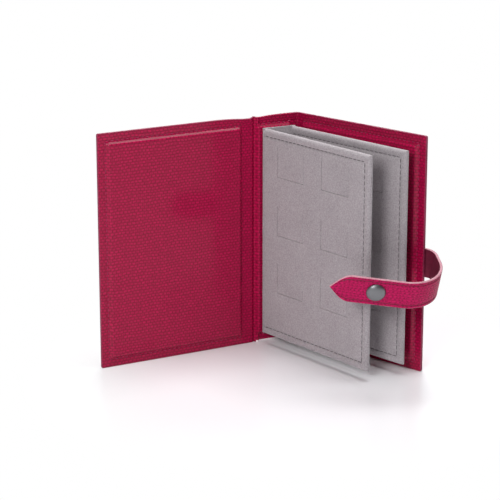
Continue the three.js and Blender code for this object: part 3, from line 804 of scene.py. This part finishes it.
def flap_sheet(leaf, number):
    """One suede flap with rounded lower corners, level with the leaf's face."""
    low, high, foot, fold = leaf_flaps[number - 1]
    along, height = grid(
        graded(low, high, FLAP_STEP[0], FLAP_CLOSE, FLAP_CLOSE),
        graded(foot, fold + FLAP_STRIP, FLAP_STEP[1], FLAP_CLOSE),
    )
    half = FLAP_THICKNESS / 2 * roll(np.minimum(to_ends(along, low, high), height - foot), FLAP_ROLL)
    middle = (low + high) / 2
    across = np.maximum(np.abs(along - middle) - ((high - low) / 2 - FLAP_CORNER), 0)
    down = np.maximum(foot + FLAP_CORNER - height, 0)
    loss = 1 - corner_pull(across, down)
    along = along - np.sign(along - middle) * across * loss
    height = height + down * loss
    face = leaf_faces[1] - FLAP_THICKNESS / 2
    top = on_leaf(leaf, along, face + half, height)
    under = on_leaf(leaf, along, face - half, height)
    flap = closed_sheet(f"{leaf}_cut_flap_{number}", top, under, (along, height), (suede,))
    node = f"{leaf}_flap_{number}"
    dress_soft(flap, node)


for leaf in LEAVES:
    for number in range(1, 7):
        flap_sheet(leaf, number)
print("flaps", 2 * len(leaf_flaps))

# %% [markdown]
# ## Gusset and tapes
#
# The leaves are sewn to a strip of the same suede that lines the spine between them. A narrow tape
# across each leaf's root makes the fold that the leaf turns on.

# %% Gusset and tapes
gusset_x = extent("page_gusset", 0, ACROSS_SPINE)
gusset_height = extent("page_gusset", 0, UP)
SOFT_CLOSE = (0, 0.05, 0.15, 0.3, 0.6, 1.2)
GUSSET_GRADING = (1.2, SOFT_CLOSE, SOFT_CLOSE)
TAPE_GRADING = (0.8, SOFT_CLOSE[:5], SOFT_CLOSE[:5])
GUSSET_TUCK = 1.9
TAPE_TUCK = 0.5
STRIP_STEP = 3.0
strip_heights = graded(*gusset_height, STRIP_STEP, SOFT_CLOSE, SOFT_CLOSE)


def soft_strip(name, axes, ends, faces, grading):
    """A flat suede strip as tall as the gusset, with soft edges.

    axes are its origin, the direction across it and the way it faces. ends and faces are its reach
    along these two directions.
    """
    origin, across, outward = axes
    offset, height = grid(graded(*ends, *grading), strip_heights)
    to_edge = np.minimum(to_ends(offset, *ends), to_ends(height, *gusset_height))
    half = (faces[1] - faces[0]) / 2 * roll(to_edge, SHEET_ROLL)
    middle = sum(faces) / 2
    base = origin + offset[..., None] * across + height[..., None] * UP
    top = base + (middle + half)[..., None] * outward
    under = base + (middle - half)[..., None] * outward
    return closed_sheet(name, top, under, (offset, height), (suede,))


axes = (np.zeros(3), ACROSS_SPINE, INTO_CASE)
ends = (gusset_x[0] + GUSSET_TUCK, gusset_x[1])
faces = extent("page_gusset", 0, INTO_CASE)
gusset = soft_strip("suede_gusset", axes, ends, faces, GUSSET_GRADING)
dress(gusset, "suede", "spine", "page_gusset")
for leaf in LEAVES:
    origin, direction, facing = leaf_frame(leaf)
    back, front = extent(f"{leaf}_tape", origin, facing)
    axes, ends = (origin, facing, direction), (back, front - TAPE_TUCK)
    faces = extent(f"{leaf}_tape", origin, direction)
    tape = soft_strip(f"{leaf}_suede_tape", axes, ends, faces, TAPE_GRADING)
    dress(tape, "suede", f"{leaf}_root", f"{leaf}_tape")
print("gusset", np.round(gusset_x, 1))

# %% [markdown]
# ## Stitches
#
# A row of stitches is the same small thread again and again: a bar with a swollen middle that dips
# into the cloth at both ends. All of a row's stitches go into one mesh, worked out as one array.

# %% Stitch rows
STITCH_RINGS, STITCH_SIDES = 7, 6
LIFT, DIP = 0.42, 0.75
STITCH_ENDS = np.array([[0, 5, 4, 1], [1, 4, 3, 2], [36, 37, 40, 41], [37, 38, 39, 40]])


def stitch_row(points, outward, length, thickness):
    """Vertices and faces of stitches centred on points, each along the row and raised on its cloth."""
    ahead = unit(np.gradient(points, axis=0))
    axes = np.stack([ahead, np.cross(outward, ahead), outward], 1)
    steps = np.linspace(-1, 1, STITCH_RINGS)[:, None]
    around = np.linspace(0, 2 * math.pi, STITCH_SIDES, endpoint=False)
    girth = thickness / 2 * np.sqrt(np.clip(1 - np.abs(steps) ** 3, 0.02, 1))
    lift = thickness * (LIFT - DIP * np.abs(steps) ** 2.5)
    rings = [steps * length / 2 + 0 * around, girth * np.cos(around), girth * np.sin(around) + lift]
    vertices = points[:, None, None] + np.stack(rings, -1) @ axes[:, None]
    one = np.concatenate([ring_faces(STITCH_RINGS, STITCH_SIDES), STITCH_ENDS])
    shift = np.arange(len(points))[:, None, None] * STITCH_RINGS * STITCH_SIDES
    return vertices.reshape(-1, 3), (one[None] + shift).reshape(-1, 4)


def even(low, high, pitch):
    """Stitch centres from low to high, about a pitch apart."""
    count = max(int(round((high - low) / pitch)), 1)
    return low + (np.arange(count) + 0.5) * (high - low) / count


def sew(name, surface, ends, levels, free, depths, thread):
    """A piece of stitches along two levels of a surface, and up its far end if that is free.

    depths are those of the rows on the face that looks along the depth, and on the other face.
    """
    length, thickness, pitch, material = thread
    lines = [np.broadcast_arrays(even(*ends, pitch), level) for level in levels]
    if free:
        lines.append(np.broadcast_arrays(ends[1], even(*levels, pitch)))
    points, faces, count = [], [], 0
    for depth, way in zip(depths, (1, -1)):
        for along, height in lines:
            row = surface(along, depth, height)
            outward = (surface(along, depth + 1, height) - row) * way
            row_points, row_faces = stitch_row(row, outward, length, thickness)
            points.append(row_points)
            faces.append(row_faces + count)
            count += len(row_points)
    piece = new_object(name, np.concatenate(points), np.concatenate(faces), None, (material,))
    close_seams(piece, 0.0005)
    return piece


print("a stitch has", STITCH_RINGS * STITCH_SIDES, "points")

# %% Stitches on the leaves and the case
LEAF_THREAD = (3.5, 0.5, STITCH_PITCH, suede_thread)
LEAF_SUNK = leaf_half - 0.68
CASE_THREAD = (2.4, 0.6, 3.6, case_thread)
CASE_DEPTHS = (lining_foot + 0.66, leather_out + 0.36)
levels = (leaf_height[0] + LEAF_STITCH, leaf_height[1] - LEAF_STITCH)
ends = (leaf_reach[0] + 1, leaf_reach[1] - LEAF_STITCH)
depths = (leaf_middle + LEAF_SUNK, leaf_middle - LEAF_SUNK)
for leaf in LEAVES:
    thread = sew(f"{leaf}_stitches", partial(on_leaf, leaf), ends, levels, True, depths, LEAF_THREAD)
    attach(thread, leaf)
levels = (case_low + STITCH_LINE, case_high - STITCH_LINE)
panels = {f"{cover}_cover": (side, cover_start[side], cover_end[side]) for cover, side in sides.items()}
panels["spine"] = (1, -spine_half, spine_half)
for body, (side, start, end) in panels.items():
    free = body != "spine"
    ends = (start, end - STITCH_LINE if free else end)
    surface = partial(on_case, side)
    thread = sew(f"{body}_stitches", surface, ends, levels, free, CASE_DEPTHS, CASE_THREAD)
    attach(thread, body)
print("stitch rows made")

# %% [markdown]
# ## Strap
#
# The strap is two layers of leather, cut with a pointed end. It is sewn flat on the back cover,
# bends where it leaves the cover, runs straight, curls round the leaves' edges and ends in a flat
# tongue, with a line creased along its edges. A line of points carries a flat section along it. The
# sewn end rides on the back cover and the tongue on its own body; the soft stretches stay in place.

# %% The strap's line
root = place("strap_swing")
tongue_fold = place("strap_fold")
loose_up = np.array(joints["strap_fold"]["axis"])
cover_out = np.array([-math.sin(-bend[1]), math.cos(-bend[1]), 0.0])
strap_half = middle_and_half("strap_anchor", root, UP)[1]
strap_thickness = 2 * middle_and_half("strap_anchor", root, cover_out)[1]
anchor_start = extent("strap_anchor", root, back_along)[0]
CURL_RADIUS = 24.5
CURL = math.radians(102)
ROOT_BEFORE, ROOT_AFTER = 4.4, 3.2


def strap_axes():
    """Direction and outward side of the loose strap where it leaves its root bend."""
    chord = tongue_fold - root
    flat_chord = chord - (chord @ loose_up) * loose_up
    span = np.linalg.norm(flat_chord)
    out_of_curl = CURL_RADIUS * (1 - math.cos(CURL))
    run = math.sqrt(span**2 - out_of_curl**2) - CURL_RADIUS * math.sin(CURL)
    lean = math.atan2(out_of_curl, run + CURL_RADIUS * math.sin(CURL))
    ahead = flat_chord / span
    return run, math.cos(lean) * ahead + math.sin(lean) * np.cross(loose_up, ahead)


strap_run, loose_along = strap_axes()
loose_out = np.cross(loose_up, loose_along)
curl_length = CURL_RADIUS * CURL
fold_at = strap_run + curl_length
tongue_along = math.cos(CURL) * loose_along - math.sin(CURL) * loose_out
tongue_length = extent("strap_tongue", tongue_fold, tongue_along)[1]
strap_end = fold_at + tongue_length
print("strap run", round(strap_run, 1), "tongue", round(tongue_length, 1))


def strap_line(along):
    """Middle, outward side and cross direction of the strap at distances from the root bend."""
    share = np.clip((along + ROOT_BEFORE) / (ROOT_BEFORE + ROOT_AFTER), 0, 1)[:, None]
    before = np.minimum(along + ROOT_BEFORE, 0)[:, None] - ROOT_BEFORE * (1 - share) ** 2
    turn = np.clip((along - strap_run) / CURL_RADIUS, 0, CURL)[:, None]
    straight = np.clip(along - ROOT_AFTER, 0, strap_run - ROOT_AFTER)[:, None] + ROOT_AFTER * share**2
    forward = straight + CURL_RADIUS * np.sin(turn)
    sideways = CURL_RADIUS * (np.cos(turn) - 1)
    past = np.maximum(along - fold_at, 0)[:, None]
    middle = root + before * back_along + forward * loose_along + sideways * loose_out + past * tongue_along
    loose_heading = np.cos(turn) * loose_along - np.sin(turn) * loose_out
    heading = ROOT_BEFORE * (1 - share) * back_along + ROOT_AFTER * share * loose_heading
    heading = unit(heading)
    outward = unit(np.cross((1 - share) * UP + share * loose_up, heading))
    return middle, outward, np.cross(heading, outward)


# %% The strap's section
TIP_LENGTH = 14.0
SHOULDER, TAPER, TAPER_WIDTH = 0.42, 0.68, 0.44
POINT = 0.02
STRAP_STEP = 0.9
STRAP_EDGE, STRAP_ROLL = 0.25, 0.6
RAW_EDGE = 0.4
CREASE_AT, CREASE_SPREAD, CREASE_DEPTH = 0.24, 0.03, 0.34
INSETS = (0, 0.006, 0.02, 0.04, 0.07, 0.11, 0.15, 0.18, 0.2, 0.215, 0.23, 0.24)
INSETS += (0.25, 0.265, 0.28, 0.3, 0.33, 0.4, 0.5, 0.7, 0.9)


def tip_half_width(along):
    """Half the strap's width: full, then a cubic curve with round shoulders that draws in to a point."""
    share = np.linspace(0, 1, 60)
    start, end = strap_end - TIP_LENGTH, strap_end
    shoulder, taper = start + SHOULDER * TIP_LENGTH, start + TAPER * TIP_LENGTH
    weights = [(1 - share) ** 3, 3 * share * (1 - share) ** 2, 3 * share**2 * (1 - share), share**3]
    reach = weights[0] * start + weights[1] * shoulder + weights[2] * taper + weights[3] * end
    width = strap_half * (weights[0] + weights[1] + TAPER_WIDTH * weights[2])
    return np.where(along < start, strap_half, np.interp(along, reach, width))


def strap_sheet(name, low, high, low_close=(), high_close=()):
    """A stretch of the strap between two distances along it, with soft pale edges."""
    along_lines = graded(low, high, STRAP_STEP, low_close, high_close)
    middle, outward, across = strap_line(along_lines)
    inset = np.concatenate([INSETS, INSETS[::-1]])
    share = (1 - inset) * np.repeat([-1, 1], len(inset) // 2)
    crease = CREASE_DEPTH * bell(inset, CREASE_AT, CREASE_SPREAD)
    half_width = np.maximum(tip_half_width(along_lines), POINT)
    offset = half_width[:, None] * share[None, :]
    to_edge = half_width[:, None] * (1 - np.abs(share))[None, :]
    to_tip = np.where(high >= strap_end, strap_end - along_lines, FAR)
    to_start = np.where(low <= anchor_start, along_lines - anchor_start, FAR)
    to_edge = np.minimum(to_edge, np.minimum(to_tip, to_start)[:, None])
    half = strap_thickness / 2 * (STRAP_EDGE + (1 - STRAP_EDGE) * roll(to_edge, STRAP_ROLL))
    base = middle[:, None, :] + offset[..., None] * across[:, None, :]
    top = base + (half - crease)[..., None] * outward[:, None, :]
    under = base - half[..., None] * outward[:, None, :]
    uv = (np.repeat(along_lines[:, None], len(share), axis=1), offset)
    # The creased line is drawn darker, as painted shade in its groove.
    line = np.tile(np.abs(inset - CREASE_AT) < CREASE_SPREAD, (len(along_lines), 1))
    # The under face takes the darker finish, which is painted shade.
    finishes = (strap_leather, raw_edge, strap_underside_shade, crease_shade)
    return closed_sheet(name, top, under, uv, finishes, to_edge < RAW_EDGE, line)


print("strap", round(2 * strap_half, 1), "mm wide and", round(strap_thickness, 1), "mm thick")

# %% The strap's stretches
TIP_CLOSE = (0, 0.1, 0.25, 0.5, 0.8, 1.2)
SOFT_FOLD = 4.0
anchor = strap_sheet("strap_sewn_end", anchor_start, -ROOT_BEFORE, TIP_CLOSE)
dress(anchor, "case_leather", "back_cover", "strap_anchor")
soft_root = strap_sheet("strap_soft_root", -ROOT_BEFORE, ROOT_AFTER)
dress_soft(soft_root, "strap_root_bend")
curled = strap_sheet("strap_curl", ROOT_AFTER, fold_at + SOFT_FOLD)
dress_soft(curled, "strap_loop")
tongue = strap_sheet("strap_pointed_tongue", fold_at + SOFT_FOLD, strap_end, (), TIP_CLOSE)
dress(tongue, "case_leather", "strap_tongue", "strap_tongue")
print("strap ends", round(strap_end, 1), "mm from its root bend")

# %% [markdown]
# ## Snap
#
# The snap's cap is a shallow steel dome, plated dark and tumbled to a satin face. The socket behind it
# grips the stud on the front cover. All three are turned profiles.

# %% Turned snap pieces
TURNED_SIDES = 64
SHANK = 1.5
RIM = 0.3
CAP_SEAT, STUD_SEAT = 0.05, 0.02
DOME_FULL, DOME_ROUND = 2.4, 0.62
BORE, BORE_DEPTH = 2.2, 1.5
ROUND = 0.25
SOCKET_FLANGE = 0.9
POST, POST_HEIGHT = 1.8, 1.3


def turned(name, profile, centre, axis, material):
    """A closed turned piece: a profile of radius and height, carried round an axis."""
    radius, height = np.array(profile, float).T
    angle = np.linspace(0, 2 * math.pi, TURNED_SIDES, endpoint=False)
    first = unit(np.cross(axis, UP))
    second = np.cross(axis, first)
    spoke = np.cos(angle)[:, None] * first + np.sin(angle)[:, None] * second
    points = centre + radius[:, None, None] * spoke[None] + height[:, None, None] * axis
    faces = ring_faces(len(radius), TURNED_SIDES)
    piece = new_object(name, points.reshape(-1, 3), faces, None, (material,))
    close_seams(piece, 0.001)
    return piece


def arc(centre_radius, centre_height, radius, start, end, steps):
    """Points of an arc in a profile, from a start to an end angle in degrees."""
    angle = np.radians(np.linspace(start, end, steps))
    return [(centre_radius + radius * math.cos(a), centre_height + radius * math.sin(a)) for a in angle]


tongue_out = np.cross(loose_up, tongue_along)
snap_along, cap_radius = middle_and_half("snap_cap", tongue_fold, tongue_along)
snap_middle = tongue_fold + snap_along * tongue_along
cap_low, cap_high = extent("snap_cap", tongue_fold, tongue_out)
cap_foot = strap_thickness / 2 + CAP_SEAT
dome_foot = cap_foot + RIM
dome_rise = cap_high - dome_foot
steps = np.sin(np.linspace(math.pi / 2, 0, 18))
dome = [(cap_radius * step, dome_foot + dome_rise * (1 - step**DOME_FULL) ** DOME_ROUND) for step in steps]
cap_profile = [
    (0, cap_low),
    (SHANK, cap_low),
    (SHANK, cap_foot),
    (cap_radius - RIM, cap_foot),
    *arc(cap_radius - RIM, dome_foot, RIM, -80, -15, 6),
    *dome,
]
cap = turned("snap_domed_cap", cap_profile, snap_middle, tongue_out, gunmetal)
dress(cap, "metal", "strap_tongue", "snap_cap")
socket_low, socket_high = extent("snap_socket", tongue_fold, tongue_out)
socket_radius = middle_and_half("snap_socket", tongue_fold, tongue_along)[1]
barrel = socket_radius - SOCKET_FLANGE
step_height = socket_high - SOCKET_FLANGE
socket_profile = [
    (0, socket_low + BORE_DEPTH),
    (BORE, socket_low + BORE_DEPTH),
    *arc(BORE + ROUND, socket_low + ROUND, ROUND, 180, 270, 5),
    *arc(barrel - ROUND, socket_low + ROUND, ROUND, 270, 360, 5),
    (barrel, step_height),
    *arc(socket_radius - RIM, step_height + RIM, RIM, 270, 360, 5),
    (socket_radius, socket_high),
    (0, socket_high),
]
socket = turned("snap_grip_socket", socket_profile, snap_middle, tongue_out, nickel)
dress(socket, "metal", "strap_tongue", "snap_socket")
print("cap", round(2 * cap_radius, 1), "mm across")

# %% Stud on the front cover
front_along = np.array([-math.cos(bend[-1]), -math.sin(bend[-1]), 0.0])
front_out = np.array([-math.sin(bend[-1]), math.cos(bend[-1]), 0.0])
stud_along, stud_radius = middle_and_half("snap_stud", fold_front, front_along)
stud_level = middle_and_half("snap_stud", fold_front, UP)[0]
stud_middle = fold_front + stud_along * front_along + stud_level * UP
stud_low, stud_high = extent("snap_stud", fold_front, front_out)
stud_foot = -leather_out - STUD_SEAT
neck = stud_high - POST_HEIGHT
stud_profile = [
    (0, stud_low),
    (SHANK, stud_low),
    (SHANK, stud_foot),
    (stud_radius - RIM, stud_foot),
    *arc(stud_radius - RIM, stud_foot + RIM, RIM, -60, 60, 6),
    (POST + 1.2, neck - 0.1),
    (POST * 0.82, neck),
    (POST * 0.84, neck + 0.35),
    *arc(POST - 0.45, neck + 0.82, 0.45, -50, 90, 8),
    (0, stud_high),
]
stud = turned("snap_post_stud", stud_profile, stud_middle, front_out, nickel)
dress(stud, "metal", "front_cover", "snap_stud")
print("stud", np.round(stud_middle, 1))

# %% [markdown]
# ## Hidden pieces
#
# Boards, felt cores and the stud's washer are inside the case and the leaves. Their CAD shapes are
# right as they are, so they only take a finish.

# %% Boards, cores and washer
hidden = {"front_board": greyboard, "spine_board": greyboard, "back_board": greyboard}
hidden.update({"leaf_1_core": felt, "leaf_2_core": felt, "stud_washer": nickel})
for node, material in hidden.items():
    slots = frame["nodes"][node].data.materials
    slots.clear()
    slots.append(material)
print("hidden pieces", len(hidden))

# %% [markdown]
# ## Floor, light and camera
#
# The camera stands where the photograph's did: its place was fitted to the case's corners. The floor
# is white acrylic. It takes the shadow and a weak reflection close to the case, and turns to plain
# white further out. A soft lamp on the left leaves the second leaf in the shade of the first. The lamp
# above stands to the right, so that the leaves' shadow falls in front of the first leaf. A lamp behind
# the case lights the leaves' rolled upper edges and the outside of the case.

# %% Floor
FLOOR_HALF = 6.0
SHADOW_MIDDLE = (-0.01, -0.07, 0.0)
SHADOW_NEAR, SHADOW_FAR = 0.08, 0.19
floor_material, floor_tree, floor_shader = new_material("white acrylic table", Roughness=0.25)
floor_shader.inputs["Base Color"].default_value = linear("#F4F3F6")
where = add_node(floor_tree, "ShaderNodeTexCoord").outputs["Object"]
ends = {0: where, 1: SHADOW_MIDDLE}
apart = add_node(floor_tree, "ShaderNodeVectorMath", ends, operation="DISTANCE").outputs["Value"]
fade = remap(floor_tree, apart, span=(SHADOW_NEAR, SHADOW_FAR), kind="SMOOTHSTEP")
path = add_node(floor_tree, "ShaderNodeLightPath").outputs
seen = larger(floor_tree, path["Is Glossy Ray"], path["Is Transmission Ray"])
seen = larger(floor_tree, seen, path["Is Camera Ray"])
share = add_node(floor_tree, "ShaderNodeMath", {0: seen, 1: fade}, operation="MULTIPLY").outputs[0]
white = add_node(floor_tree, "ShaderNodeEmission", {"Color": (1.0, 1.0, 1.0, 1.0), "Strength": 1.0})
shaders = {0: share, 1: floor_shader.outputs[0], 2: white.outputs[0]}
mixed = add_node(floor_tree, "ShaderNodeMixShader", shaders)
floor_tree.links.new(mixed.outputs[0], floor_tree.nodes["Material Output"].inputs["Surface"])
floor_mesh = bpy.data.meshes.new("floor")
corners = [(x * FLOOR_HALF, y * FLOOR_HALF, 0) for x, y in ((-1, -1), (1, -1), (1, 1), (-1, 1))]
floor_mesh.from_pydata(corners, [], [(0, 1, 2, 3)])
floor_mesh.materials.append(floor_material)
floor = bpy.data.objects.new("floor", floor_mesh)
bpy.context.scene.collection.objects.link(floor)
print("floor", FLOOR_HALF * 2, "m wide")

# %% Lamps and world
AIM = (0.0, -0.05, 0.08)


def soft_lamp(name, where, width, watts):
    """A square soft lamp that looks at the case."""
    lamp = bpy.data.lights.new(name, "AREA")
    lamp.size = width
    lamp.energy = watts
    holder = bpy.data.objects.new(name, lamp)
    holder.location = where
    holder.rotation_euler = (Vector(AIM) - Vector(where)).to_track_quat("-Z", "Y").to_euler()
    bpy.context.scene.collection.objects.link(holder)


soft_lamp("left_lamp", (-0.7, -0.7, 0.55), 0.35, 6)
soft_lamp("top_lamp", (0.22, 0.0, 1.28), 0.9, 17)
soft_lamp("back_lamp", (0.45, 0.95, 0.9), 0.6, 7.5)
world = bpy.data.worlds.new("studio")
world.use_nodes = True
background = world.node_tree.nodes["Background"].inputs
background["Color"].default_value = (1, 1, 1, 1)
background["Strength"].default_value = 0.1
bpy.context.scene.world = world
bpy.context.scene.view_settings.view_transform = "Standard"
print("lamps", 3)

# %% Camera
CAMERA_PLACE = (-0.5592, -1.1662, 0.4301)
CAMERA_PITCH = math.radians(15.79)
CAMERA_YAW = math.radians(24.93)
FOCAL_PIXELS = 1948.3
FRAME_PIXELS = 500
camera_data = bpy.data.cameras.new("camera")
camera_data.sensor_width = 36.0
camera_data.lens = FOCAL_PIXELS / FRAME_PIXELS * camera_data.sensor_width
camera = bpy.data.objects.new("camera", camera_data)
camera.location = CAMERA_PLACE
camera.rotation_euler = (math.pi / 2 - CAMERA_PITCH, 0.0, -CAMERA_YAW)
bpy.context.scene.collection.objects.link(camera)
bpy.context.scene.camera = camera
print("lens", round(camera_data.lens, 1), "mm")
